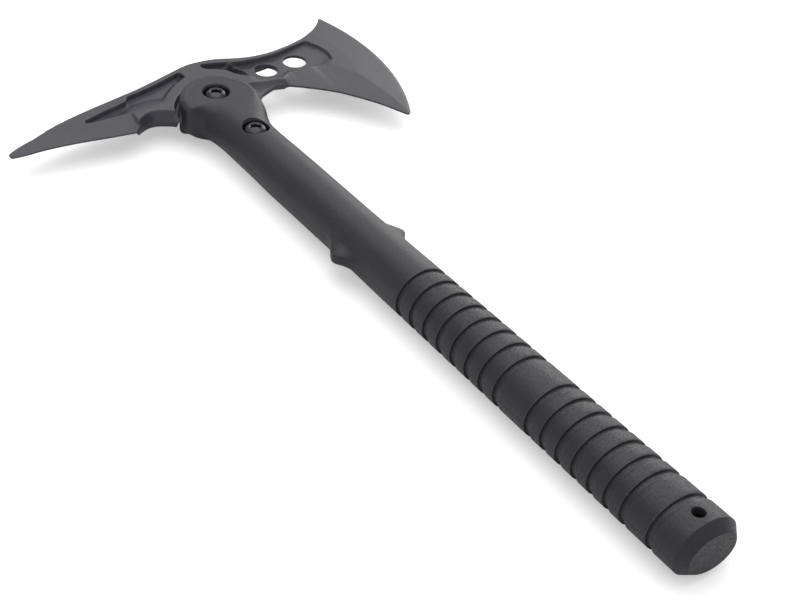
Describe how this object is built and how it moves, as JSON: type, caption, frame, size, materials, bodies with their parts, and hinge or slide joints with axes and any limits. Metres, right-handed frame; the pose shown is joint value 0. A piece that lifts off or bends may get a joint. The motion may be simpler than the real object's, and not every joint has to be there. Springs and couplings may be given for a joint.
{
  "type": "spike tomahawk",
  "caption": "One-hand tomahawk: crescent blade, spike and lightened hub bolted between two black moulded handle shells with ring grooves and a lanyard hole.",
  "frame": {"origin": "middle of the lowest face of the box round the tomahawk as it lies flat", "axes": "+Y up the handle to the head, +X to the blade, +Z across the thickness"},
  "size_m": [0.1922, 0.3824, 0.024],
  "materials": {
    "head_coating": "satin charcoal coating over cast steel",
    "handle_nylon": "black glass-filled nylon, fine moulded texture",
    "black_fastener": "glossy black plated steel",
    "zinc_steel": "plain zinc-plated steel",
    "tube_nylon": "black nylon"
  },
  "bodies": {
    "root": {"axe_head": "head_coating", "handle_front_half": "handle_nylon", "handle_back_half": "handle_nylon", "head_bolt": "black_fastener", "neck_bolt": "black_fastener", "head_sleeve_nut": "black_fastener", "neck_sleeve_nut": "black_fastener", "head_bolt_washer": "zinc_steel", "neck_bolt_washer": "zinc_steel", "head_nut_washer": "zinc_steel", "neck_nut_washer": "zinc_steel", "head_tang_bush": "zinc_steel", "neck_tang_bush": "zinc_steel", "grip_core": "zinc_steel", "lanyard_tube": "tube_nylon", "shell_dowel_1": "zinc_steel", "shell_dowel_2": "zinc_steel", "shell_dowel_3": "zinc_steel", "shell_dowel_4": "zinc_steel", "shell_dowel_5": "zinc_steel", "shell_dowel_6": "zinc_steel"}
  },
  "joints": []
}
